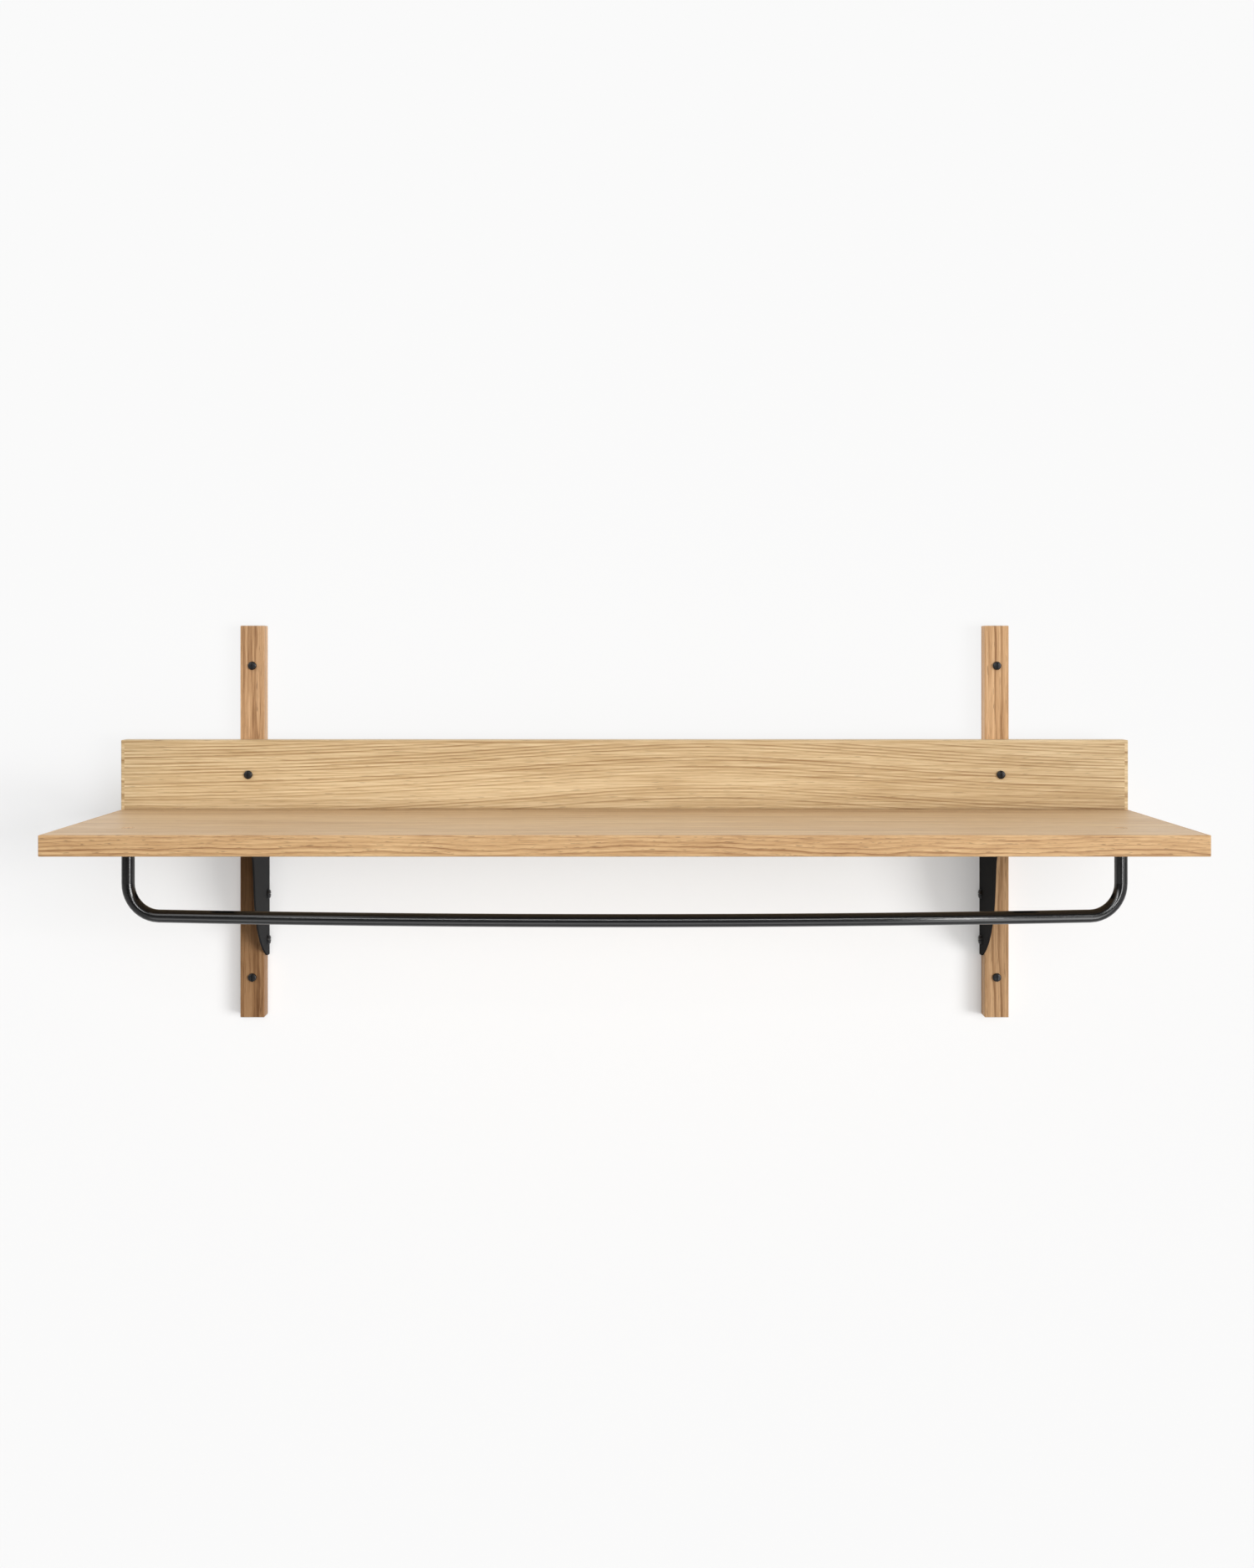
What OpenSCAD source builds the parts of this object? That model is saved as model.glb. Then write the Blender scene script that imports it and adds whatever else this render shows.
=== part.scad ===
// Wall shelf with an upstand, two wall rails, two folded steel brackets and a hanging rod.
// The origin is the middle of the four wall screws, on the wall: +X right, +Y into the wall, +Z up.

/* [Shelf board] */
// Width of the board and of the upstand
shelf_w = 870; // [840:5:1100]
// Depth of the board in front of the upstand
board_d = 207; // [204:1:260]
// Thickness of the board and of the upstand
panel_t = 16; // [16:0.5:20]
// Height of the board's top above the middle of the rails
board_level = 12; // [6:1:16]
// Thickness of the oak veneer on the faces
veneer_t = 0.6; // [0.4:0.1:1]
// Thickness of the solid oak lippings on the edges
lipping_t = 3; // [2:0.5:5]
// Radius of the eased edges
edge_r = 1; // [0.5:0.1:1.5]

/* [Upstand] */
// Height of the upstand above the board's top
upstand_h = 60; // [50:1:80]
// Height of the upstand's screws above the board's top
upstand_screw_h = 30; // [20:1:34]

/* [Wall rails] */
// Distance between the middles of the two rails
rail_pitch = 650; // [560:5:690]
// Width of a rail
rail_w = 21; // [20:1:26]
// Thickness of a rail, from the wall
rail_t = 15; // [14:0.5:18]
// Length of a rail
rail_l = 342; // [330:2:380]
// Distance of the wall screws from the rail's ends
wall_screw_inset = 35; // [25:1:38]

/* [Brackets] */
// Thickness of the folded steel plate
plate_t = 1.5; // [1.5:0.1:2.5]
// Distance of the blade's foot below the board
blade_drop = 114; // [108:1:118]
// Depth of the blade just under the arm, from the wall
blade_d = 64; // [60:1:68]
// Reach of the arm from the wall
arm_reach = 196; // [190:1:204]
// Width of the fold that carries the board
flange_w = 18; // [16:1:20]

/* [Hanging rod] */
// Diameter of the round rod
rod_d = 10; // [8:0.1:12]
// Distance between the middles of the rod's two legs
rod_pitch = 767; // [740:1:800]
// Distance of the legs behind the board's front edge
rod_setback = 53; // [50:1:70]
// Distance of the rod's middle line below the board
rod_drop = 51.6; // [46:0.1:60]
// Radius of the bends, on the middle line
rod_bend_r = 25; // [20:1:32]
// Angle by which each end of the rod turns forward
rod_splay = 7.2; // [2:0.1:8]

/* [Screws] */
// Diameter of the front screw heads
head_d = 7.3; // [7:0.1:8.5]
// Height of the front screw heads
head_h = 2.2; // [1.8:0.1:2.6]
// Width of the screwdriver slots
slot_w = 0.9; // [0.7:0.1:1.1]
// Length of a wall screw behind the rail
wall_screw_reach = 35; // [25:1:45]

/* [Hidden] */
$fn = 64;
cut = 0.01;             // smallest step between two faces that would otherwise coincide
fit = 0.1;              // clearance round a screw's neck
snug = 0.05;            // clearance round a thread, a dowel and a plug

oak_rail = [0.72, 0.54, 0.38];
oak_face = [0.84, 0.69, 0.49];
oak_edge = [0.83, 0.64, 0.43];
core_tan = [0.62, 0.49, 0.34];
beech = [0.87, 0.74, 0.55];
black_steel = [0.13, 0.13, 0.13];
black_screw = [0.09, 0.09, 0.09];

// Levels and depths that several pieces share
top_z = board_level;
under_z = top_z - panel_t;
crest_z = top_z + upstand_h;
upstand_front = -(rail_t + panel_t);
board_front = upstand_front - board_d;
half_w = shelf_w / 2;
rail_x = rail_pitch / 2;
rail_round = 0.8;
wall_screw_z = rail_l / 2 - wall_screw_inset;
upstand_screw_z = top_z + upstand_screw_h;

// Wall screws: the neck in the rail is thicker than the thread behind the wall's face
wall_neck_r = 2.3;
wall_thread_r = 2;
screw_tip_l = 4;

// Upstand screws, through the upstand into the rails
upstand_neck_r = 2.4;
upstand_thread_r = 1.7;
upstand_screw_l = 28;

// Bracket screws, through the blade into the side of the rail
side_head_d = 7.8;
side_head_h = 2.9;
side_neck_r = 2.2;
side_neck_l = 5;
side_thread_r = 1.8;
side_screw_l = 17;
side_screw_y = -0.6 * rail_t;
side_screw_drops = [60, 100];
side_names = ["upper", "lower"];

// Board screws, up through the fold into the board
board_head_d = 7;
board_head_h = 2;
board_neck_r = 1.9;
board_thread_r = 1.6;
board_screw_l = 13;
board_screw_count = 3;
board_screw_first = 30; // from the rear end of the fold
board_screw_step = 66;

// Rod screws, down through the board into the rod's legs, each under an oak plug
rod_head_d = 8.5;
rod_head_h = 3.2;
rod_screw_r = 2.5;
rod_screw_l = 20;
plug_d = 10;
plug_t = 4;

// Dowels between the board and the upstand
dowel_r = 4;
dowel_l = 22;
dowel_in_board = 12;
dowel_xs = [-395, -130, 130, 395];
dowel_z = (top_z + under_z) / 2;
dowel_y = upstand_front - dowel_in_board;

// Bracket outline, as depth from the wall and height under the board
blade_lean = 9.5;       // angle of the blade's front edge from vertical
blade_arc_r = 79;       // radius of the curve that brings it back to the wall
blade_straight = 37;    // height of the straight stretch below the arm's corner
foot_round = 2;
arm_root_t = 16;        // height of the arm where it leaves the blade
arm_tip_t = 3;
arm_fillet_r = 16;
fold_start = rail_t + 1;
fold_len = arm_reach - fold_start;
fold_corner_r = 4;

// Rod: legs, bends and a shallow arc that bows the rod forward between them
rod_r = rod_d / 2;
leg_x = rod_pitch / 2;
leg_y = board_front + rod_setback;
rod_z = under_z - rod_drop;
bow_r = (leg_x - rod_bend_r * cos(rod_splay)) / sin(rod_splay);
bow_start_y = leg_y - rod_bend_r * sin(rod_splay);

SIDES = ["left", "right"];
function side_of(name) = name == "left" ? -1 : 1;

// ---------- Shared shapes ----------

// Rectangle with rounded corners, its first corner at the origin
module rounded_rect(w, h, r) {
    translate([r, 0]) square([w - 2 * r, h]);
    translate([0, r]) square([w, h - 2 * r]);
    for (x = [r, w - r], y = [r, h - r]) translate([x, y]) circle(r);
}

// Block with all its edges eased, its first corner at the origin
module eased_block(size, r) {
    intersection() {
        linear_extrude(size.z) rounded_rect(size.x, size.y, r);
        translate([0, size.y, 0]) rotate([90, 0, 0]) linear_extrude(size.y) rounded_rect(size.x, size.z, r);
        rotate([90, 0, 90]) linear_extrude(size.x) rounded_rect(size.y, size.z, r);
    }
}

// Block between two corners
module block(low, high) {
    translate(low) cube(high - low);
}

// Round bar along +Y, +X or +Z from a point
module bar_y(p, r, l) translate(p) rotate([-90, 0, 0]) cylinder(h = l, r = r);
module bar_x(p, r, l) translate(p) rotate([0, 90, 0]) cylinder(h = l, r = r);
module bar_z(p, r, l) translate(p) cylinder(h = l, r = r);

// Slotted pan-head screw along +Z: the head's underside is at z = 0, and the slot lies along Y
module slotted_screw(d, h, neck_r, neck_l, thread_r, length) {
    chamfer = h * 0.3;
    difference() {
        union() {
            translate([0, 0, chamfer - h]) cylinder(h = h - chamfer, d = d);
            translate([0, 0, -h]) cylinder(h = chamfer, d1 = d - 2 * chamfer, d2 = d);
        }
        translate([-slot_w / 2, -d, -h - cut]) cube([slot_w, 2 * d, h * 0.5]);
    }
    cylinder(h = neck_l, r = neck_r);
    cylinder(h = length - screw_tip_l, r = thread_r);
    translate([0, 0, length - screw_tip_l]) cylinder(h = screw_tip_l, r1 = thread_r, r2 = 0);
}

// ---------- Wall rails ----------

// Solid oak rail with its wall screw holes, the upstand screw's pilot and the bracket screws' pilots
module rail(side) {
    x = side * rail_x;
    inner_x = x - side * rail_w / 2;
    color(oak_rail) difference() {
        translate([x - rail_w / 2, -rail_t, -rail_l / 2]) eased_block([rail_w, rail_t, rail_l], rail_round);
        for (z = [-wall_screw_z, wall_screw_z])
            bar_y([x, -rail_t - cut, z], wall_neck_r + fit, rail_t + 2 * cut);
        bar_y([x, -rail_t - cut, upstand_screw_z], upstand_thread_r + snug, upstand_screw_l - panel_t + 1);
        for (drop = side_screw_drops)
            translate([inner_x, side_screw_y, under_z - drop])
            mirror([side < 0 ? 1 : 0, 0, 0]) {
                bar_x([-cut, 0, 0], side_neck_r + fit, side_neck_l - plate_t + 0.5);
                bar_x([-cut, 0, 0], side_thread_r + snug, side_screw_l - plate_t + 1);
            }
    }
}

// ---------- Board ----------

// Outer form of the board, square at the rear where it meets the upstand
module board_form() {
    translate([-half_w, board_front, under_z])
        intersection() {
            eased_block([shelf_w, board_d + 4 * edge_r, panel_t], edge_r);
            cube([shelf_w, board_d, panel_t]);
        }
}

// Where each bracket's board screws stand, as depth from the wall
function board_screw_depth(i) = fold_start + board_screw_first + (i - 1) * board_screw_step;

function board_screw_x(side) = side * (rail_x - rail_w / 2 + flange_w / 2);

// Holes for the rod's screws and plugs, and pilots for the brackets' screws
module board_holes() {
    for (s = SIDES) {
        side = side_of(s);
        bar_z([side * leg_x, leg_y, under_z - cut], rod_screw_r + fit, panel_t);
        bar_z([side * leg_x, leg_y, top_z - plug_t - rod_head_h], plug_d / 2, panel_t);
        for (i = [1:board_screw_count])
            bar_z([board_screw_x(side), -board_screw_depth(i), under_z - cut],
                board_thread_r + snug, board_screw_l - plate_t + 1);
    }
}

module board_core() {
    color(core_tan) difference() {
        block([lipping_t - half_w, board_front + lipping_t, under_z + veneer_t],
            [half_w - lipping_t, upstand_front, top_z - veneer_t]);
        board_holes();
        dowel_holes();
    }
}

// One face of the board, from its lower level
module board_veneer(z) {
    color(oak_face) difference() {
        block([lipping_t - half_w, board_front + lipping_t, z],
            [half_w - lipping_t, upstand_front, z + veneer_t]);
        board_holes();
    }
}

module board_front_lipping() {
    color(oak_edge) intersection() {
        board_form();
        block([-half_w, board_front, under_z], [half_w, board_front + lipping_t, top_z]);
    }
}

module board_end_lipping(side) {
    x = side < 0 ? -half_w : half_w - lipping_t;
    color(oak_edge) intersection() {
        board_form();
        block([x, board_front + lipping_t, under_z], [x + lipping_t, upstand_front, top_z]);
    }
}

// ---------- Upstand ----------

module upstand_form() {
    translate([-half_w, upstand_front, under_z]) eased_block([shelf_w, panel_t, crest_z - under_z], edge_r);
}

// Clearance holes for the screws into the rails
module upstand_holes() {
    for (s = SIDES)
        bar_y([side_of(s) * rail_x, upstand_front - cut, upstand_screw_z],
            upstand_neck_r + fit, panel_t + 2 * cut);
}

module upstand_core() {
    color(core_tan) difference() {
        block([lipping_t - half_w, upstand_front + veneer_t, under_z + lipping_t],
            [half_w - lipping_t, -rail_t - veneer_t, crest_z - lipping_t]);
        upstand_holes();
        dowel_holes();
    }
}

// One face of the upstand, from its front depth
module upstand_veneer(y) {
    color(oak_face) difference() {
        block([lipping_t - half_w, y, under_z + lipping_t],
            [half_w - lipping_t, y + veneer_t, crest_z - lipping_t]);
        upstand_holes();
        dowel_holes();
    }
}

// Lipping along the whole width, from its lower level
module upstand_long_lipping(z) {
    color(oak_edge) intersection() {
        upstand_form();
        block([-half_w, upstand_front, z], [half_w, -rail_t, z + lipping_t]);
    }
}

module upstand_end_lipping(side) {
    x = side < 0 ? -half_w : half_w - lipping_t;
    color(oak_edge) intersection() {
        upstand_form();
        block([x, upstand_front, under_z + lipping_t], [x + lipping_t, -rail_t, crest_z - lipping_t]);
    }
}

// ---------- Dowels ----------

module dowel(i) {
    color(beech) bar_y([dowel_xs[i - 1], dowel_y, dowel_z], dowel_r, dowel_l);
}

module dowel_holes() {
    for (x = dowel_xs) bar_y([x, dowel_y - 1, dowel_z], dowel_r + snug, dowel_l + 2);
}

// ---------- Brackets ----------

// Points on an arc round a middle, between two angles
function arc(middle, r, from, to, steps) =
    [for (i = [0:steps]) let (a = from + (to - from) * i / steps) middle + r * [cos(a), sin(a)]];

// The arm's corner, where the blade's front edge would meet the arm's lower edge
corner = [blade_d, -arm_root_t];
arm_slope = atan((arm_root_t - arm_tip_t) / (arm_reach - blade_d));

// Middle of the fillet in the corner, which touches both edges
fillet_half = (90 + arm_slope + blade_lean) / 2;
fillet_turn = arm_slope - fillet_half;
fillet_middle = corner + arm_fillet_r / sin(fillet_half) * [cos(fillet_turn), sin(fillet_turn)];

// Middle of the curve that starts where the blade's straight front edge ends
bend_point = corner - blade_straight * [tan(blade_lean), 1];
blade_middle = bend_point - blade_arc_r * [cos(blade_lean), -sin(blade_lean)];

// Middle of the small round at the blade's foot, and where the two curves meet
foot_reach = blade_arc_r - foot_round;
foot_y = foot_round - blade_drop;
foot_turn = asin((foot_y - blade_middle.y) / foot_reach);
foot_middle = blade_middle + foot_reach * [cos(foot_turn), sin(foot_turn)];

// Outline of the plate: x is the depth from the wall, y the height above the board's underside
module bracket_outline() {
    polygon(concat(
        [[0, -blade_drop], [0, 0], [arm_reach, 0], [arm_reach, -arm_tip_t]],
        arc(fillet_middle, arm_fillet_r, 90 + arm_slope, 180 - blade_lean, 12),
        arc(blade_middle, blade_arc_r, -blade_lean, foot_turn, 32),
        arc(foot_middle, foot_round, foot_turn, -90, 6)
    ));
}

// The folded plate: an upright blade on the rail's inner side and a flange under the board
module bracket(side) {
    outer_x = rail_x - rail_w / 2;
    color(black_steel) mirror([side < 0 ? 1 : 0, 0, 0]) difference() {
        union() {
            intersection() {
                translate([outer_x, 0, under_z]) rotate([90, 0, -90])
                    linear_extrude(plate_t) bracket_outline();
                rounded_fold_blank(outer_x);
            }
            intersection() {
                translate([outer_x - plate_t, -arm_reach, under_z - plate_t])
                    linear_extrude(plate_t) fold_outline();
                rounded_fold_blank(outer_x);
            }
        }
        for (drop = side_screw_drops)
            bar_x([outer_x - plate_t - cut, side_screw_y, under_z - drop],
                side_neck_r + fit, plate_t + 2 * cut);
        for (i = [1:board_screw_count])
            bar_z([board_screw_x(1), -board_screw_depth(i), under_z - plate_t - cut],
                board_neck_r + fit, plate_t + 2 * cut);
    }
}

// Flange seen from above, its free front corner rounded
module fold_outline() {
    w = plate_t + flange_w;
    square([w - fold_corner_r, fold_len]);
    translate([0, fold_corner_r]) square([w, fold_len - fold_corner_r]);
    translate([w - fold_corner_r, fold_corner_r]) circle(fold_corner_r);
}

// Space that the plate may fill, with the outside of the fold rounded along its whole length
module rounded_fold_blank(outer_x) {
    translate([outer_x - plate_t, 0, under_z]) rotate([90, 0, 0]) linear_extrude(arm_reach) {
        translate([plate_t, -plate_t]) square([flange_w, plate_t]);
        translate([0, -blade_drop]) square([plate_t, blade_drop - plate_t]);
        translate([plate_t, -plate_t]) circle(plate_t);
    }
}

// ---------- Hanging rod ----------

// The rod's right leg and the bend below it, which is a hair thinner than the straight rod
module rod_end() {
    leg_l = rod_drop - rod_bend_r;
    translate([leg_x, leg_y, under_z - leg_l]) {
        cylinder(h = leg_l, r = rod_r);
        rotate([0, 0, 180 + rod_splay]) translate([rod_bend_r, 0, 0]) rotate([90, 0, 0])
            rotate_extrude(angle = 90, start = 180) translate([rod_bend_r, 0]) circle(rod_r - cut);
    }
}

module hanging_rod() {
    color(black_steel) difference() {
        union() {
            rod_end();
            mirror([1, 0, 0]) rod_end();
            translate([0, bow_start_y + bow_r * cos(rod_splay), rod_z])
                rotate_extrude(angle = 2 * rod_splay, start = 270 - rod_splay, $fn = 256)
                    translate([bow_r, 0]) circle(rod_r);
        }
        for (s = SIDES)
            bar_z([side_of(s) * leg_x, leg_y, under_z - rod_screw_l], rod_screw_r + snug, rod_screw_l + cut);
    }
}

// ---------- Fasteners ----------

module wall_screw(side, level) {
    color(black_screw) translate([side * rail_x, -rail_t, level * wall_screw_z]) rotate([-90, 0, 0])
        slotted_screw(head_d, head_h, wall_neck_r, rail_t, wall_thread_r, rail_t + wall_screw_reach);
}

module upstand_screw(side) {
    color(black_screw) translate([side * rail_x, upstand_front, upstand_screw_z]) rotate([-90, 0, 0])
        slotted_screw(head_d, head_h, upstand_neck_r, panel_t, upstand_thread_r, upstand_screw_l);
}

module bracket_screw(side, drop) {
    inner_x = rail_x - rail_w / 2 - plate_t;
    color(black_screw) mirror([side < 0 ? 1 : 0, 0, 0])
        translate([inner_x, side_screw_y, under_z - drop]) rotate([0, 90, 0])
        slotted_screw(side_head_d, side_head_h, side_neck_r, side_neck_l, side_thread_r, side_screw_l);
}

module board_screw(side, i) {
    color(black_screw) translate([board_screw_x(side), -board_screw_depth(i), under_z - plate_t])
        slotted_screw(board_head_d, board_head_h, board_neck_r, plate_t, board_thread_r, board_screw_l);
}

// Machine screw with a cheese head, its head's underside on the seat in the board
module rod_screw(side) {
    seat_z = top_z - plug_t - rod_head_h;
    color(black_screw) translate([side * leg_x, leg_y, seat_z]) difference() {
        union() {
            cylinder(h = rod_head_h, d = rod_head_d);
            translate([0, 0, -rod_screw_l]) cylinder(h = rod_screw_l, r = rod_screw_r);
        }
        translate([-slot_w / 2, -rod_head_d, rod_head_h / 2]) cube([slot_w, 2 * rod_head_d, rod_head_h]);
    }
}

module plug(side) {
    color(oak_edge) bar_z([side * leg_x, leg_y, top_z - plug_t], plug_d / 2 - snug, plug_t);
}

// ---------- Assembly ----------

rail(-1);  // left_rail
rail(1);  // right_rail
board_core();
board_veneer(top_z - veneer_t);  // board_top_veneer
board_veneer(under_z);  // board_bottom_veneer
board_front_lipping();
board_end_lipping(-1);  // board_left_lipping
board_end_lipping(1);  // board_right_lipping
upstand_core();
upstand_veneer(upstand_front);  // upstand_front_veneer
upstand_veneer(-rail_t - veneer_t);  // upstand_back_veneer
upstand_long_lipping(crest_z - lipping_t);  // upstand_top_lipping
upstand_long_lipping(under_z);  // upstand_bottom_lipping
upstand_end_lipping(-1);  // upstand_left_lipping
upstand_end_lipping(1);  // upstand_right_lipping
for (i = [1:len(dowel_xs)]) dowel(i);
bracket(-1);  // left_bracket
bracket(1);  // right_bracket
hanging_rod();
for (s = SIDES) {
    wall_screw(side_of(s), 1);
    wall_screw(side_of(s), -1);
    upstand_screw(side_of(s));
    for (v = [0:1])
        bracket_screw(side_of(s), side_screw_drops[v]);
    for (i = [1:board_screw_count])
        board_screw(side_of(s), i);
    rod_screw(side_of(s));
    plug(side_of(s));
}
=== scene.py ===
"""Looks of the wall shelf: oak, black powder coat and slotted screws, on a pale wall in soft studio light."""
import math

import bpy
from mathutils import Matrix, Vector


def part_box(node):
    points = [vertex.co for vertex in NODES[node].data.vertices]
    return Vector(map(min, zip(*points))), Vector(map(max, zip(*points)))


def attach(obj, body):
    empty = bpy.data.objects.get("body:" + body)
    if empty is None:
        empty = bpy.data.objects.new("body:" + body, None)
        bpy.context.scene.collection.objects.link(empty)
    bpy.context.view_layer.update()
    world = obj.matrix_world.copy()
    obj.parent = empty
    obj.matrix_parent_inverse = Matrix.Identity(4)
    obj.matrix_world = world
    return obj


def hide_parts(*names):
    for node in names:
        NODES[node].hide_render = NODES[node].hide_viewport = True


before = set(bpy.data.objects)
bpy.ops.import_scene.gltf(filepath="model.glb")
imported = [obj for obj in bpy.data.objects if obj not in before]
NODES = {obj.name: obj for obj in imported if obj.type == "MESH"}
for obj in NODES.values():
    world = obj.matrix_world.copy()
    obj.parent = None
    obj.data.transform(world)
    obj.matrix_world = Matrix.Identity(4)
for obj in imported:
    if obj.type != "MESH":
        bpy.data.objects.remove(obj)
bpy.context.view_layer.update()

MM = 0.001


def linear(red, green, blue):
    """A display colour, 0 to 255, as the linear colour that shaders use."""
    def channel(value):
        value = value / 255
        return value / 12.92 if value <= 0.04045 else ((value + 0.055) / 1.055) ** 2.4
    return (channel(red), channel(green), channel(blue), 1.0)


# ---------- Material steps ----------

class Graph:
    """A material's node tree, built up one step at a time."""

    def __init__(self, name):
        self.material = bpy.data.materials.new(name)
        self.material.use_nodes = True
        self.tree = self.material.node_tree
        self.tree.nodes.clear()
        self.point = self.node("ShaderNodeTexCoord").outputs["Object"]

    def node(self, kind, **settings):
        """A new node of this kind, with its settings."""
        made = self.tree.nodes.new(kind)
        for key, value in settings.items():
            setattr(made, key, value)
        return made

    def feed(self, socket, value):
        """Links an output to the socket, or sets the socket to a plain value."""
        if isinstance(value, bpy.types.NodeSocket):
            self.tree.links.new(value, socket)
        else:
            socket.default_value = value

    def math(self, operation, a, b=0.0, clamp=False):
        """One step of arithmetic on two values, each an output or a plain number."""
        step = self.node("ShaderNodeMath", operation=operation, use_clamp=clamp)
        self.feed(step.inputs[0], a)
        self.feed(step.inputs[1], b)
        return step.outputs[0]

    def axes(self, order):
        """The three coordinates of the surface point, in the order of the axis letters."""
        parts = self.node("ShaderNodeSeparateXYZ")
        self.feed(parts.inputs[0], self.point)
        return [parts.outputs["XYZ".index(letter)] for letter in order]

    def join(self, coordinates, scales, shift=0.0):
        """A vector of three coordinates, each scaled, and shifted to another part of the pattern."""
        joined = self.node("ShaderNodeCombineXYZ")
        for socket, coordinate, scale in zip(joined.inputs, coordinates, scales):
            scaled = self.math("MULTIPLY", coordinate, scale)
            self.feed(socket, self.math("ADD", scaled, shift))
        return joined.outputs[0]

    def noise(self, vector, detail=2.0, roughness=0.5):
        """Cloudy noise round 0.5, at the scale that the vector already has."""
        step = self.node("ShaderNodeTexNoise")
        self.feed(step.inputs["Vector"], vector)
        step.inputs["Scale"].default_value = 1.0
        step.inputs["Detail"].default_value = detail
        step.inputs["Roughness"].default_value = roughness
        return step.outputs[0]

    def swing(self, value, amount):
        """Noise round its middle, as a value from -amount to +amount."""
        return self.math("MULTIPLY", self.math("SUBTRACT", value, 0.5), 2 * amount)

    def ramp(self, value, low, high, to_low=0.0, to_high=1.0):
        """Maps value from low..high to to_low..to_high, smoothly and clamped."""
        step = self.node("ShaderNodeMapRange", interpolation_type="SMOOTHSTEP")
        for socket, number in zip(step.inputs[:5], (value, low, high, to_low, to_high)):
            self.feed(socket, number)
        return step.outputs[0]

    def colors(self, value, *stops):
        """A colour ramp through stops of (position, colour)."""
        step = self.node("ShaderNodeValToRGB")
        elements = step.color_ramp.elements
        while len(elements) < len(stops):
            elements.new(0.5)
        for element, (position, color) in zip(elements, stops):
            element.position = position
            element.color = color
        self.feed(step.inputs[0], value)
        return step.outputs[0]

    def mix(self, amount, a, b, blend="MIX"):
        """Colour a turning into b, or blended with it, by the amount."""
        step = self.node("ShaderNodeMix", data_type="RGBA", blend_type=blend)
        self.feed(step.inputs[0], amount)
        self.feed(step.inputs[6], a)
        self.feed(step.inputs[7], b)
        return step.outputs[2]

    def bump(self, height, strength, distance):
        """A surface normal that follows the height."""
        step = self.node("ShaderNodeBump")
        step.inputs["Strength"].default_value = strength
        step.inputs["Distance"].default_value = distance
        self.feed(step.inputs["Height"], height)
        return step.outputs[0]

    def finish(self, color, roughness, normal, **values):
        """The finished material. values: other inputs of the shader, with _ for each space in a name."""
        shader = self.node("ShaderNodeBsdfPrincipled")
        output = self.node("ShaderNodeOutputMaterial")
        self.feed(shader.inputs["Base Color"], color)
        self.feed(shader.inputs["Roughness"], roughness)
        self.feed(shader.inputs["Normal"], normal)
        for key, value in values.items():
            shader.inputs[key.replace("_", " ")].default_value = value
        self.tree.links.new(shader.outputs[0], output.inputs[0])
        return self.material


# ---------- Wood ----------

# What the oak's colour is multiplied by, in full, where a stretch of it is darker: painted shade in most
# stretches, a plain darkening in the rest
DARKENING = (0.50, 0.42, 0.33, 1.0)


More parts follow.
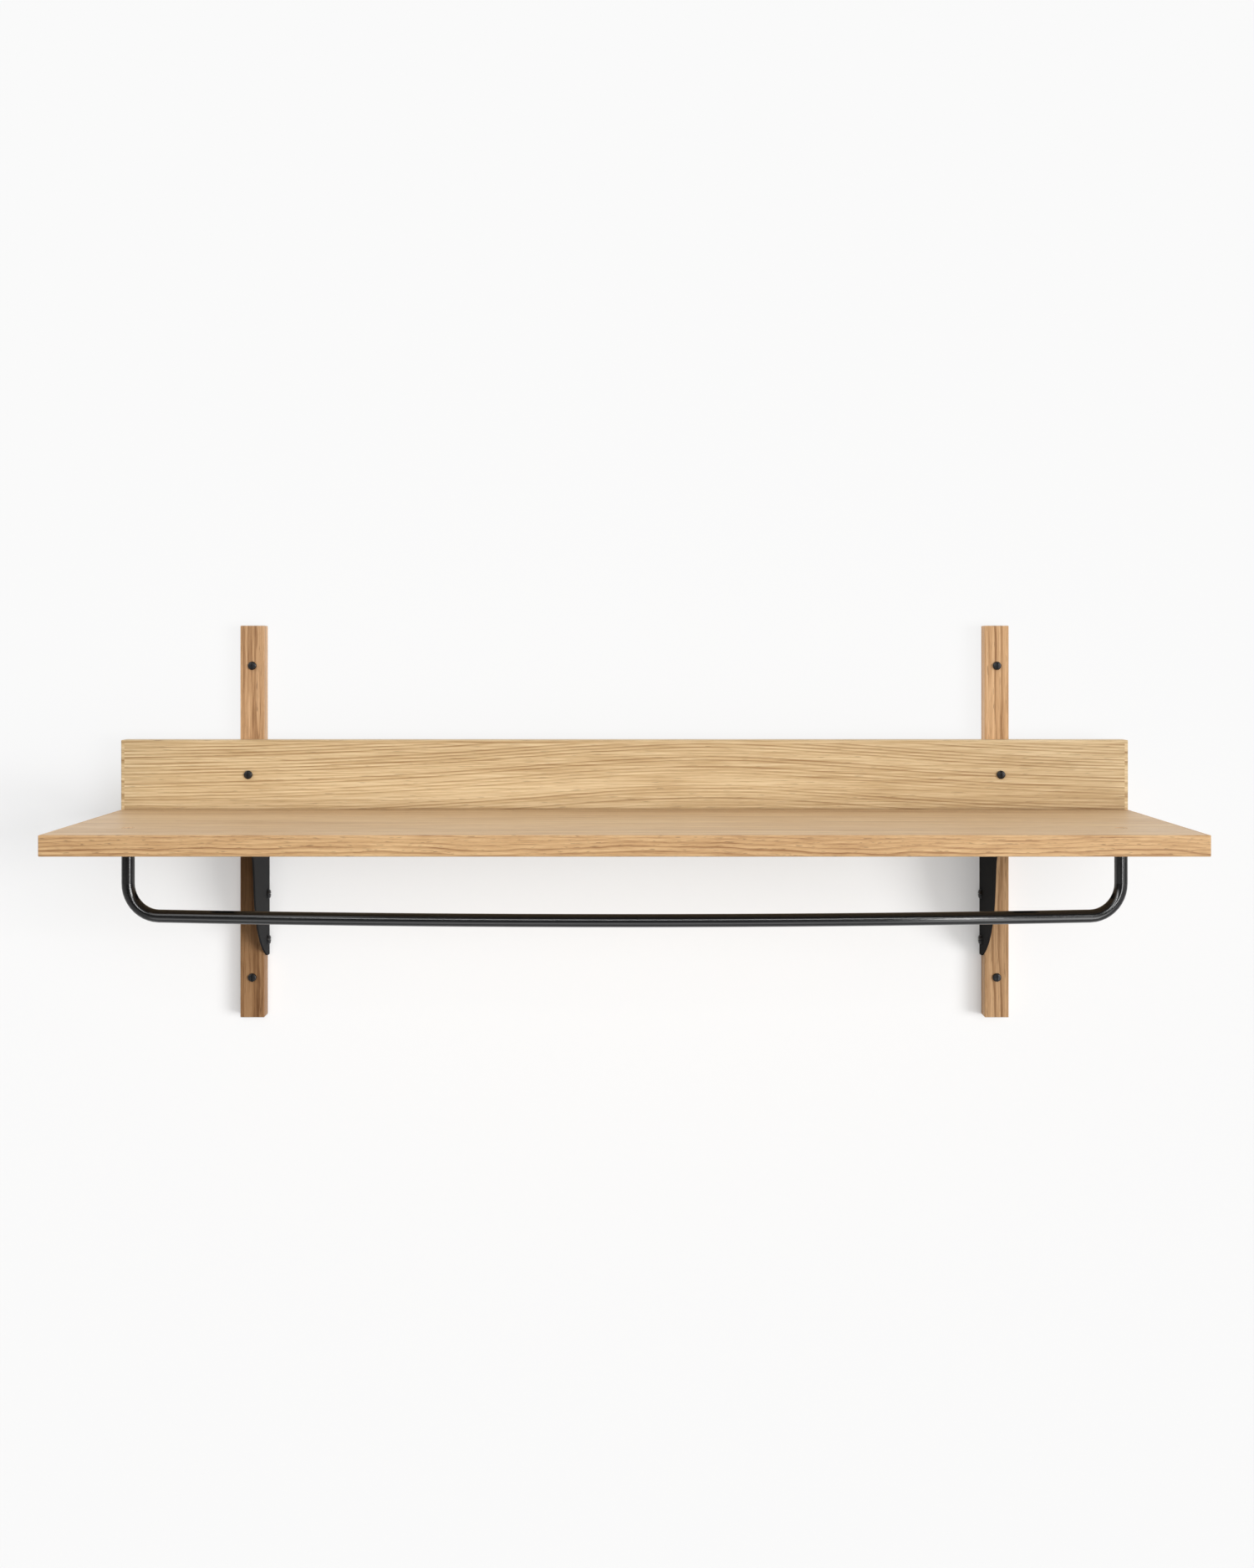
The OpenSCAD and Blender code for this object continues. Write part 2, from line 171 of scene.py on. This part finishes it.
def oak(name, order, tones, ring, pith, arch=(0.0, 0.0, 1.0), wander=0.006, seed=0.0,
        contrast=1.0, flecks=0.5, curl=1.0, gloss=0.4, darker=()):
    """Oak sawn from a log: growth rings round a pith, fibres and pores along the grain.

    order: axis letters along the grain, across it and into it. tones: light, middle and dark colour.
    ring: width of a growth ring. pith: where the log's middle is, across and into.
    arch: height of a swell in the figure, where along the grain it is, and how long it is.
    wander: how far the figure strays. seed: which part of the endless pattern is used.
    contrast: depth of the figure. flecks: how dark the pores are. curl: above 1, a shorter, wilder figure.
    gloss: strength of the finish's reflection. darker: stretches where the colour is darkened, most of them
    painted shade, as (axis letter, from, to, amount at the start, amount at the end).
    """
    g = Graph(name)
    wood = g.axes(order)
    along, across, into = wood
    slow = g.noise(g.join(wood, (1.6 * curl, 9, 9), seed), detail=2)
    quick = g.noise(g.join(wood, (11 * curl, 75, 75), seed + 3), detail=2)
    swell, swell_at, swell_length = arch
    offset = g.math("DIVIDE", g.math("SUBTRACT", along, swell_at), swell_length)
    bend = g.math("DIVIDE", swell, g.math("ADD", g.math("MULTIPLY", offset, offset), 1.0))
    side = g.math("ADD", g.math("SUBTRACT", across, pith[0]), g.swing(slow, wander))
    side = g.math("SUBTRACT", side, bend)
    deep = g.math("SUBTRACT", into, pith[1])
    squares = g.math("ADD", g.math("MULTIPLY", side, side), g.math("MULTIPLY", deep, deep))
    radius = g.math("SQRT", squares)
    radius = g.math("ADD", radius, g.swing(quick, 0.25 * ring * curl))
    turns = g.math("DIVIDE", radius, ring)
    phase = g.math("FRACT", turns)
    tone = g.node("ShaderNodeTexWhiteNoise", noise_dimensions="1D")
    g.feed(tone.inputs["W"], g.math("ADD", g.math("FLOOR", turns), seed))
    ring_tone = tone.outputs[0]

    late = g.math("MULTIPLY", g.ramp(phase, 0.30, 0.95), g.ramp(phase, 0.95, 1.0, 1.0, 0.0))
    early = g.ramp(phase, 0.0, 0.45, 1.0, 0.0)
    patch = g.noise(g.join(wood, (3.5, 26, 26), seed + 7), detail=2)
    streak = g.noise(g.join(wood, (9 * curl, 560, 560), seed + 1), detail=3, roughness=0.62)
    fibre = g.noise(g.join(wood, (34 * curl, 1500, 1500), seed + 2), detail=2, roughness=0.6)
    dash = g.noise(g.join(wood, (70 * curl, 1300, 1300), seed + 5), detail=1)
    porous = g.math("ADD", g.math("MULTIPLY", early, 0.75), 0.25)
    pores = g.math("MULTIPLY", g.ramp(dash, 0.58, 0.70), porous)

    shade = g.math("MULTIPLY", late, g.ramp(ring_tone, 0.0, 1.0, 0.10 * contrast, 0.60 * contrast))
    shade = g.math("ADD", shade, g.swing(streak, 0.80 * contrast))
    shade = g.math("ADD", shade, g.swing(fibre, 0.45 * contrast))
    shade = g.math("ADD", shade, g.swing(patch, 0.35 * contrast))
    shade = g.math("ADD", shade, 0.30, clamp=True)
    light, middle, dark = tones
    color = g.colors(shade, (0.0, light), (0.48, middle), (1.0, dark))
    pore_color = tuple(0.42 * value for value in dark[:3]) + (1.0,)
    color = g.mix(g.math("MULTIPLY", pores, flecks), color, pore_color)
    # Darker stretches: painted shade where they are given as such, a plain darkening elsewhere
    for axis, start, end, at_start, at_end in darker:
        amount = g.ramp(g.axes(axis)[0], start, end, at_start, at_end)
        color = g.mix(amount, color, DARKENING, "MULTIPLY")

    wear = g.noise(g.join(wood, (14, 18, 18), seed + 9), detail=4, roughness=0.6)
    rough = g.math("ADD", g.ramp(wear, 0.3, 0.7, 0.44, 0.54), g.math("MULTIPLY", late, -0.05))
    rough = g.math("ADD", rough, g.math("MULTIPLY", pores, 0.2))
    height = g.math("ADD", g.math("MULTIPLY", fibre, 0.35), g.math("MULTIPLY", streak, 0.35))
    height = g.math("SUBTRACT", height, g.math("MULTIPLY", pores, 0.9))
    height = g.math("ADD", height, g.math("MULTIPLY", late, 0.25))
    return g.finish(color, rough, g.bump(height, 0.35, 0.00012), Specular_IOR_Level=gloss)


def fibreboard():
    """Raw fibreboard: matted short fibres and small dark flecks."""
    g = Graph("fibreboard")
    point = g.axes("XYZ")
    mat = g.noise(g.join(point, (700, 700, 1800)), detail=4, roughness=0.7)
    cloud = g.noise(g.join(point, (40, 40, 90), 4.0), detail=3)
    fleck = g.ramp(g.noise(g.join(point, (900, 900, 900), 2.0), detail=1), 0.68, 0.76)
    shade = g.math("ADD", g.math("MULTIPLY", mat, 0.6), g.math("MULTIPLY", cloud, 0.4))
    color = g.colors(shade, (0.3, linear(176, 146, 108)), (0.7, linear(136, 104, 72)))
    color = g.mix(g.math("MULTIPLY", fleck, 0.7), color, linear(88, 62, 40))
    return g.finish(color, g.ramp(mat, 0.3, 0.7, 0.78, 0.92), g.bump(mat, 0.5, 0.0002))


# ---------- Metal ----------

def powder_coat(name, tone, roughness, gloss, texture):
    """Black powder coat: fine orange peel, and faint paler scuffs.

    tone: display brightness of the black, 0 to 255. gloss: strength of its reflection.
    texture: depth of the orange peel.
    """
    g = Graph(name)
    point = g.axes("XYZ")
    peel = g.noise(g.join(point, (650, 650, 650)), detail=2, roughness=0.5)
    grit = g.noise(g.join(point, (2600, 2600, 2600), 5.0), detail=2, roughness=0.6)
    cloud = g.noise(g.join(point, (18, 18, 18), 9.0), detail=3)
    scuff = g.math("MULTIPLY", g.ramp(cloud, 0.55, 0.75), g.ramp(grit, 0.5, 0.7))
    deep = linear(tone - 4, tone - 4, tone - 4)
    pale = linear(tone + 4, tone + 4, tone + 5)
    worn = linear(tone + 40, tone + 40, tone + 40)
    color = g.colors(grit, (0.35, deep), (0.7, pale))
    color = g.mix(g.math("MULTIPLY", scuff, 0.25), color, worn)
    rough = g.ramp(peel, 0.3, 0.7, roughness - 0.03, roughness + 0.03)
    rough = g.math("ADD", rough, g.math("MULTIPLY", scuff, 0.12))
    height = g.math("ADD", peel, g.math("MULTIPLY", grit, 0.4))
    return g.finish(color, rough, g.bump(height, texture, 0.00008), Specular_IOR_Level=gloss)


def black_screw():
    """Satin black plating, with turning marks round the head and worn spots."""
    g = Graph("black_screw")
    point = g.axes("XYZ")
    turned = g.noise(g.join(point, (2400, 2400, 2400)), detail=3, roughness=0.6)
    spot = g.ramp(g.noise(g.join(point, (420, 420, 420), 3.0), detail=4, roughness=0.7), 0.60, 0.72)
    color = g.colors(turned, (0.3, linear(30, 30, 32)), (0.7, linear(46, 46, 48)))
    color = g.mix(g.math("MULTIPLY", spot, 0.5), color, linear(92, 90, 88))
    rough = g.math("SUBTRACT", g.ramp(turned, 0.3, 0.7, 0.30, 0.42), g.math("MULTIPLY", spot, 0.06))
    return g.finish(color, rough, g.bump(turned, 0.25, 0.00006), Metallic=0.35)


def make_materials():
    """Every material, under the key that material_key gives. Lengths are in metres."""
    upstand_tones = (linear(233, 209, 168), linear(205, 176, 132), linear(165, 130, 87))
    face_tones = (linear(230, 201, 160), linear(212, 178, 136), linear(176, 138, 98))
    edge_tones = (linear(232, 194, 144), linear(207, 165, 117), linear(150, 106, 66))
    left_tones = (linear(223, 184, 143), linear(194, 153, 112), linear(136, 97, 64))
    right_tones = (linear(226, 186, 142), linear(200, 158, 115), linear(150, 109, 72))
    beech_tones = (linear(228, 196, 156), linear(212, 174, 132), linear(180, 138, 98))
    swell = (0.026, 0.07, 0.24)
    low_swell = (0.010, -0.15, 0.30)

    # Darker stretches, fitted to the photograph's tones: painted shade along the joint of board and upstand
    # and on the board's top by the upstand, painted shade down the rails from a little above the board, where
    # board and brackets shade them, and a darkening towards the upstand's right end
    joint_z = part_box("board_top_veneer")[1][2]
    joint_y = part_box("upstand_front_veneer")[0][1]
    # Painted shade in the corner where the upstand meets the board, and on the board's top towards the
    # upstand
    joint_painted_shade = [("Z", joint_z, joint_z + 0.0022, 0.75, 0.0), ("Z", joint_z, joint_z + 0.018, 0.25, 0.0)]
    rear_painted_shade = [("Y", joint_y - 0.060, joint_y, 0.0, 0.28)]
    dark_right_end = [("X", 0.05, 0.44, 0.0, 0.12)]
    # Painted shade on the rails below the board, deeper on the left rail, which its bracket shades
    left_rail_painted_shade = [("Z", -0.03, 0.05, 0.74, 0.0)]
    right_rail_painted_shade = [("Z", -0.03, 0.05, 0.25, 0.0)]
    return {
        "upstand": oak("oak_upstand", "XZY", upstand_tones, 0.0027, (-0.30, 0.02), swell,
                       wander=0.004, seed=1.3, darker=joint_painted_shade + dark_right_end),
        "upstand_back": oak("oak_upstand_back", "XZY", upstand_tones, 0.0030, (-0.42, 0.02), swell, seed=8.4),
        "upstand_edge": oak("oak_upstand_edge", "XZY", upstand_tones, 0.0030, (-0.05, 0.25),
                            wander=0.004, seed=5.5),
        "face": oak("oak_board_face", "XYZ", face_tones, 0.0050, (-0.70, 0.10), swell,
                    wander=0.010, seed=21.7, flecks=0.3, darker=rear_painted_shade),
        "edge": oak("oak_board_edge", "XZY", edge_tones, 0.0024, (-0.020, -0.222), low_swell,
                    wander=0.012, seed=35.1, contrast=0.75, flecks=0.6, curl=2.3),
        "end": oak("oak_board_end", "YZX", edge_tones, 0.0036, (-0.03, -0.30), seed=44.6),
        "left_rail": oak("oak_left_rail", "ZXY", left_tones, 0.0042, (-0.335, 0.020),
                         wander=0.014, seed=52.9, curl=1.5, gloss=0.2, darker=left_rail_painted_shade),
        "right_rail": oak("oak_right_rail", "ZXY", right_tones, 0.0036, (0.362, 0.030),
                          wander=0.012, seed=63.2, curl=1.5, gloss=0.2, darker=right_rail_painted_shade),
        "plug": oak("oak_plug", "ZXY", left_tones, 0.0030, (0.10, -0.15), seed=71.4),
        "beech": oak("beech", "YXZ", beech_tones, 0.0040, (0.0, 0.08), seed=80.8, contrast=0.5),
        "fibreboard": fibreboard(),
        "bracket": powder_coat("black_steel_plate", tone=40, roughness=0.80, gloss=0.02, texture=0.18),
        "rod": powder_coat("black_steel_rod", tone=9, roughness=0.17, gloss=0.55, texture=0.06),
        "screw": black_screw(),
    }


def material_key(node):
    """Which material a CAD node wears."""
    if "screw" in node:
        return "screw"
    if "bracket" in node:
        return "bracket"
    if "rod" in node:
        return "rod"
    if "core" in node:
        return "fibreboard"
    if "dowel" in node:
        return "beech"
    if "plug" in node:
        return "plug"
    if "rail" in node:
        return node
    if node.startswith("upstand"):
        return {"front": "upstand", "back": "upstand_back"}.get(node.split("_")[1], "upstand_edge")
    if "veneer" in node:
        return "face"
    return "edge" if "front" in node else "end"


def dress(materials):
    """Gives every CAD node its material."""
    for name, piece in NODES.items():
        piece.data.materials.clear()
        piece.data.materials.append(materials[material_key(name)])


# ---------- Screws and plugs ----------

def box_of(node):
    """Lowest corner, highest corner and middle of a CAD node, in millimetres."""
    low, high = [[value / MM for value in corner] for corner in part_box(node)]
    return low, high, [(a + b) / 2 for a, b in zip(low, high)]


# Head height, neck radius, neck length and thread radius of each kind of screw, in millimetres
SCREW_FORMS = {
    "wall": (2.2, 2.3, 15.0, 2.0),
    "upstand": (2.2, 2.4, 16.0, 1.7),
    "bracket": (2.9, 2.2, 5.0, 1.8),
    "board": (2.0, 1.9, 1.5, 1.6),
}
# Half the slot's width, the point's length and the thread's pitch, in millimetres
SLOT_HALF = 0.45
TIP_LENGTH = 4.0
THREAD_PITCH = 1.5
THREAD_CORE = 0.72      # the thread's core, as a part of its radius
THREAD_DEPTH = 0.28     # the rest of it
TURN_STEPS = 28
RINGS_PER_PITCH = 6
SHARP_ANGLE = 35        # edges that turn more than this many degrees stay crisp


def head_column(x, radius, rows):
    """Points across the head at x, from edge to edge of its round outline."""
    reach = math.sqrt(radius * radius - x * x)
    return [(x, reach * (2 * row / (rows - 1) - 1)) for row in range(rows)]


def head_level(x, y, radius, height):
    """Top of the domed head: nearly flat in the middle, rounded down to half its height at the rim."""
    flat = 0.62
    out = min(1.0, math.hypot(x, y) / radius)
    crown = 0.06 * height * min(1.0, out / flat) ** 2
    if out <= flat:
        return crown - height
    round_off = (out - flat) / (1 - flat)
    return crown - height + 0.44 * height * (1 - math.sqrt(max(0.0, 1 - round_off * round_off)))


def screw_head(radius, height):
    """A slotted head as a closed surface, its underside at z = 0 and its slot along y."""
    rows, columns = 13, 7
    points, faces = [], []
    sweep = math.radians(84)
    outer = radius * math.sin(sweep)
    steps = [math.sin(sweep * k / (columns - 1)) for k in range(columns)]
    start = SLOT_HALF / outer
    side = [outer * (start + (1 - start) * (step / steps[-1])) for step in steps]
    xs = [-x for x in reversed(side)] + side
    floor_level = -0.46 * height

    def grid(x_values, level):
        first = len(points)
        for x in x_values:
            for px, py in head_column(x, radius, rows):
                points.append((px, py, level(px, py)))
        return first

    def quads(first, count):
        for column in range(count - 1):
            for row in range(rows - 1):
                a = first + column * rows + row
                faces.append((a, a + 1, a + rows + 1, a + rows))

    def dome(x, y):
        return head_level(x, y, radius, height)

    left = grid(xs[:columns], dome)
    right = grid(xs[columns:], dome)
    floor = grid([-SLOT_HALF, SLOT_HALF], lambda x, y: floor_level)
    base = grid(xs, lambda x, y: 0.0)
    quads(left, columns)
    quads(right, columns)
    quads(floor, 2)

    # Upright walls: both sides of the slot, then the head's two outermost sides
    last = columns - 1
    for row in range(rows - 1):
        a, b = left + last * rows + row, floor + row
        faces.append((a, a + 1, b + 1, b))
        a, b = floor + rows + row, right + row
        faces.append((a, a + 1, b + 1, b))
        a, b = left + row, base + row
        faces.append((b, b + 1, a + 1, a))
        a, b = right + last * rows + row, base + (2 * columns - 1) * rows + row
        faces.append((a, a + 1, b + 1, b))
    # Rim at both ends of the columns, which takes in the ends of the slot's floor
    for row, flip in ((0, False), (rows - 1, True)):
        rim = []
        for group, offset in ((left, 0), (right, columns)):
            for column in range(columns - 1):
                a = group + column * rows + row
                b = base + (offset + column) * rows + row
                rim.append([a, a + rows, b + rows, b])
        rim[columns - 2].insert(2, floor + row)
        rim[columns - 1].insert(0, floor + rows + row)
        b = base + last * rows + row
        rim.append([floor + row, floor + rows + row, b + rows, b])
        faces.extend(tuple(reversed(face)) if flip else tuple(face) for face in rim)

    # Underside, turned to face down
    before_base = len(faces)
    quads(base, 2 * columns)
    faces[before_base:] = [tuple(reversed(face)) for face in faces[before_base:]]
    return points, faces


def screw_shank(length, neck_radius, neck_length, thread_radius):
    """Neck, helical thread and point, as a closed surface that starts inside the head."""
    rings = [(-0.2, None), (neck_length - 0.3, None)]
    step = THREAD_PITCH / RINGS_PER_PITCH
    count = int((length - neck_length) / step)
    rings += [(neck_length + k * step, k) for k in range(count + 1)]
    points, faces = [], []
    for z, k in rings:
        for turn in range(TURN_STEPS):
            angle = 2 * math.pi * turn / TURN_STEPS
            if k is None:
                radius = neck_radius
            else:
                phase = (z / THREAD_PITCH - turn / TURN_STEPS) % 1.0
                ridge = max(0.0, 1 - abs(phase - 0.5) / 0.3)
                taper = min(1.0, (length - z) / TIP_LENGTH)
                radius = thread_radius * (THREAD_CORE + THREAD_DEPTH * ridge) * max(0.06, taper)
            points.append((radius * math.cos(angle), radius * math.sin(angle), z))
    for ring in range(len(rings) - 1):
        for turn in range(TURN_STEPS):
            a = ring * TURN_STEPS + turn
            b = ring * TURN_STEPS + (turn + 1) % TURN_STEPS
            faces.append((a, b, b + TURN_STEPS, a + TURN_STEPS))
    faces.append(tuple(reversed(range(TURN_STEPS))))
    faces.append(tuple(range(len(points) - TURN_STEPS, len(points))))
    return points, faces


def add_piece(name, points, faces, material, node):
    """A mesh piece in the row frame, in millimetres, that stands for a CAD node."""
    mesh = bpy.data.meshes.new(name)
    mesh.from_pydata([tuple(value * MM for value in point) for point in points], [], faces)
    mesh.materials.append(material)
    mesh.shade_smooth()
    mesh.set_sharp_from_angle(angle=math.radians(SHARP_ANGLE))
    piece = bpy.data.objects.new(name, mesh)
    bpy.context.scene.collection.objects.link(piece)
    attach(piece, "root")
    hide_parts(node)
    return piece


def screw_place(node):
    """How a screw's own frame (head at -z, point at +z) lies in the row frame, from its CAD node's box."""
    low, high, middle = box_of(node)
    kind = node.split("_")[0]
    height = SCREW_FORMS[kind][0]
    if kind == "board":
        return lambda p: (middle[0] + p[0], middle[1] + p[1], low[2] + height + p[2])
    if kind == "bracket":
        outward = 1 if middle[0] > 0 else -1
        seat = (low[0] if outward > 0 else high[0]) + outward * height
        return lambda p: (seat + outward * p[2], middle[1] + p[1], middle[2] - p[0])
    return lambda p: (middle[0] + p[0], low[1] + height + p[2], middle[2] - p[1])


def add_screws(material):
    """A domed, slotted screw with a real thread, for every CAD screw but the two hidden under the plugs."""
    for node in sorted(NODES):
        kind = node.split("_")[0]
        if "screw" not in node or kind == "rod":
            continue
        height, neck_radius, neck_length, thread_radius = SCREW_FORMS[kind]
        low, high, _ = box_of(node)
        size = sorted(b - a for a, b in zip(low, high))
        length, diameter = size[2] - height, size[1]
        place = screw_place(node)
        points, faces = screw_head(diameter / 2, height)
        more_points, more_faces = screw_shank(length, neck_radius, neck_length, thread_radius)
        faces = faces + [tuple(index + len(points) for index in face) for face in more_faces]
        placed = [place(point) for point in points + more_points]
        mirrored = place((0, 0, 1))[0] < place((0, 0, 0))[0]
        if mirrored:
            faces = [tuple(reversed(face)) for face in faces]
        add_piece("detail_" + node, placed, faces, material, node)


def add_plugs(material):
    """An oak plug a hair below the board's top, its rim eased, over each of the rod's screws."""
    steps = 48
    for node in ("plug_left", "plug_right"):
        low, high, middle = box_of(node)
        radius = (high[0] - low[0]) / 2
        # Straight side, eased rim and a top just below the board's, as (radius, height)
        profile = [(radius, low[2]), (radius, high[2] - 0.7), (radius - 0.1, high[2] - 0.45),
                   (radius - 0.35, high[2] - 0.3), (radius - 1.2, high[2] - 0.25)]
        points = []
        for reach, z in profile:
            for step in range(steps):
                angle = 2 * math.pi * step / steps
                points.append((middle[0] + reach * math.cos(angle), middle[1] + reach * math.sin(angle), z))
        faces = [tuple(reversed(range(steps))), tuple(range(len(points) - steps, len(points)))]
        for ring in range(len(profile) - 1):
            for step in range(steps):
                a, b = ring * steps + step, ring * steps + (step + 1) % steps
                faces.append((a, b, b + steps, a + steps))
        add_piece("detail_" + node, points, faces, material, node)


# ---------- Studio ----------

def add_camera():
    """The photograph's camera, as fitted: level, straight ahead, its frame shifted to centre the shelf."""
    data = bpy.data.cameras.new("camera")
    data.sensor_width = 36.0
    data.lens = 38.784
    data.shift_x = 0.001568
    data.shift_y = -0.0829333
    camera = bpy.data.objects.new("camera", data)
    camera.location = (0.0, -1.4895, 0.1463)
    camera.rotation_euler = (math.radians(90), 0.0, 0.0)
    bpy.context.scene.collection.objects.link(camera)
    bpy.context.scene.camera = camera


def flat_square(name, size, middle, upright):
    """A stage plane, upright along X and Z and facing the room, or lying along X and Y."""
    half = size / 2
    corners = [(-half, -half), (half, -half), (half, half), (-half, half)]
    points = [(x, 0.0, z) if upright else (x, z, 0.0) for x, z in corners]
    mesh = bpy.data.meshes.new(name)
    mesh.from_pydata(points, [], [(0, 1, 2, 3)])
    piece = bpy.data.objects.new(name, mesh)
    piece.location = middle
    bpy.context.scene.collection.objects.link(piece)
    return piece


# Soft far lights: azimuth from straight ahead (+ is from the right), elevation, width, strength
SHELF_SUNS = {
    "right_key": (44, 9, 28, 1.9),
    "left_high": (-50, 32, 50, 1.3),
}
WALL_SUNS = {
    "wall_right": (48, -4, 26, 2.4),
    "wall_front": (12, -2, 60, 2.4),
}
# Softboxes near the shelf: position, what they face, width and height, power
SOFTBOXES = {
    "front_bank": ((0.0, -1.35, 0.40), (0.0, -0.1, 0.0), (1.4, 0.20), 3.3),
    "low_fill": ((0.75, -0.90, -0.50), (-0.2, -0.1, -0.06), (0.5, 0.4), 2.2),
}
# Softboxes that light one node alone: strips that draw the rod's highlights, and a fill for a bracket
OWN_SOFTBOXES = {
    "rod_side": ("hanging_rod", (0.62, -1.13, -0.12), (0.0, -0.1, 0.0), (0.08, 0.40), 2.6),
    "rod_front": ("hanging_rod", (0.0, -1.40, 0.36), (0.0, -0.2, -0.05), (1.6, 0.07), 5.2),
    "rod_low": ("hanging_rod", (0.0, -0.69, -0.59), (0.0, -0.19, -0.06), (1.7, 0.32), 2.9),
    "bracket_fill": ("left_bracket", (0.6, -0.5, -0.40), (-0.325, -0.05, -0.06), (0.4, 0.4), 8.0),
}
ROOM_LIGHT = 0.08
# How bright bare wall looks, and how much of the light it scatters below the board and above it
WALL_TONE = 0.956
PAINT_BELOW = 0.54
PAINT_ABOVE = 0.08
# Heights between which the lower paint turns into the upper one
PAINT_CHANGE = (-0.03, 0.07)


def wall_light():
    """How much light reaches bare wall, as the brightness of a white wall."""
    total = ROOM_LIGHT
    for azimuth, elevation, _, strength in WALL_SUNS.values():
        total += strength * math.cos(math.radians(azimuth)) * math.cos(math.radians(elevation)) / math.pi
    return total


def wall_material():
    """Pale wall seen from the room only: its back is clear, so that the shelf's back can be looked at.

    It glows a little, more above the shelf than below it, so that shadows stay faint and bare wall is even.
    """
    g = Graph("stage_wall")
    height = g.axes("Z")[0]
    paint = g.ramp(height, *PAINT_CHANGE, PAINT_BELOW, PAINT_ABOVE)
    glow = g.math("SUBTRACT", WALL_TONE, g.math("MULTIPLY", paint, wall_light()))
    diffuse = g.node("ShaderNodeBsdfDiffuse")
    g.feed(diffuse.inputs["Color"], g.mix(paint, (0.0, 0.0, 0.0, 1.0), (1.0, 1.0, 1.0, 1.0)))
    emission = g.node("ShaderNodeEmission")
    g.feed(emission.inputs["Strength"], glow)
    front = g.node("ShaderNodeAddShader")
    g.feed(front.inputs[0], diffuse.outputs[0])
    g.feed(front.inputs[1], emission.outputs[0])
    choice = g.node("ShaderNodeMixShader")
    g.feed(choice.inputs[0], g.node("ShaderNodeNewGeometry").outputs["Backfacing"])
    g.feed(choice.inputs[1], front.outputs[0])
    g.feed(choice.inputs[2], g.node("ShaderNodeBsdfTransparent").outputs[0])
    g.feed(g.node("ShaderNodeOutputMaterial").inputs[0], choice.outputs[0])
    return g.material


def floor_material():
    """Pale matt floor with a faint grain."""
    g = Graph("stage_floor")
    grain = g.noise(g.join(g.axes("XYZ"), (60, 60, 60)), detail=3)
    color = g.colors(grain, (0.3, (0.80, 0.80, 0.80, 1.0)), (0.7, (0.84, 0.84, 0.84, 1.0)))
    return g.finish(color, 0.6, g.bump(grain, 0.05, 0.001))


def add_sun(name, azimuth, elevation, angle, strength):
    """A far light, in degrees: where it comes from, and how wide it looks."""
    data = bpy.data.lights.new(name, "SUN")
    data.angle = math.radians(angle)
    data.energy = strength
    light = bpy.data.objects.new(name, data)
    light.rotation_euler = (math.radians(90 - elevation), 0.0, math.radians(azimuth))
    bpy.context.scene.collection.objects.link(light)
    return light


def add_softbox(name, position, target, size, power):
    """A rectangular light that faces a target and isn't seen by the camera."""
    data = bpy.data.lights.new(name, "AREA")
    data.shape = "RECTANGLE"
    data.size, data.size_y = size
    data.energy = power
    light = bpy.data.objects.new(name, data)
    light.location = position
    aim = [t - p for t, p in zip(target, position)]
    flat = math.hypot(aim[0], aim[1])
    light.rotation_euler = (math.atan2(flat, -aim[2]), 0.0, math.atan2(aim[1], aim[0]) - math.pi / 2)
    light.visible_camera = False
    bpy.context.scene.collection.objects.link(light)
    return light


def link_light(light, state, *pieces):
    """Keeps a light off some pieces (EXCLUDE), or on those pieces alone (INCLUDE)."""
    group = bpy.data.collections.new(light.name + "_lights")
    for piece in pieces:
        group.objects.link(piece)
    for link in group.collection_objects:
        link.light_linking.link_state = state
    light.light_linking.receiver_collection = group


def add_studio():
    """Wall, floor, lights and room light."""
    wall = flat_square("stage_wall", 16.0, (0.0, 0.0003, 0.0), True)
    wall.data.materials.append(wall_material())
    floor = flat_square("stage_floor", 16.0, (0.0, 0.0, -0.95), False)
    floor.data.materials.append(floor_material())
    floor.visible_diffuse = False
    for piece in (wall, floor):
        piece.visible_shadow = False
        piece.visible_transmission = False
    for name, values in SHELF_SUNS.items():
        link_light(add_sun(name, *values), "EXCLUDE", wall)
    for name, values in WALL_SUNS.items():
        link_light(add_sun(name, *values), "INCLUDE", wall)
    for name, values in SOFTBOXES.items():
        link_light(add_softbox(name, *values), "EXCLUDE", wall, floor)
    for name, (node, *values) in OWN_SOFTBOXES.items():
        link_light(add_softbox(name, *values), "INCLUDE", NODES[node])
    world = bpy.data.worlds.new("studio")
    world.use_nodes = True
    world.node_tree.nodes["Background"].inputs["Color"].default_value = (1.0, 1.0, 1.0, 1.0)
    world.node_tree.nodes["Background"].inputs["Strength"].default_value = ROOM_LIGHT
    bpy.context.scene.world = world
    bpy.context.scene.view_settings.view_transform = "Standard"


materials = make_materials()
dress(materials)
add_screws(materials["screw"])
add_plugs(materials["plug"])
add_camera()
add_studio()
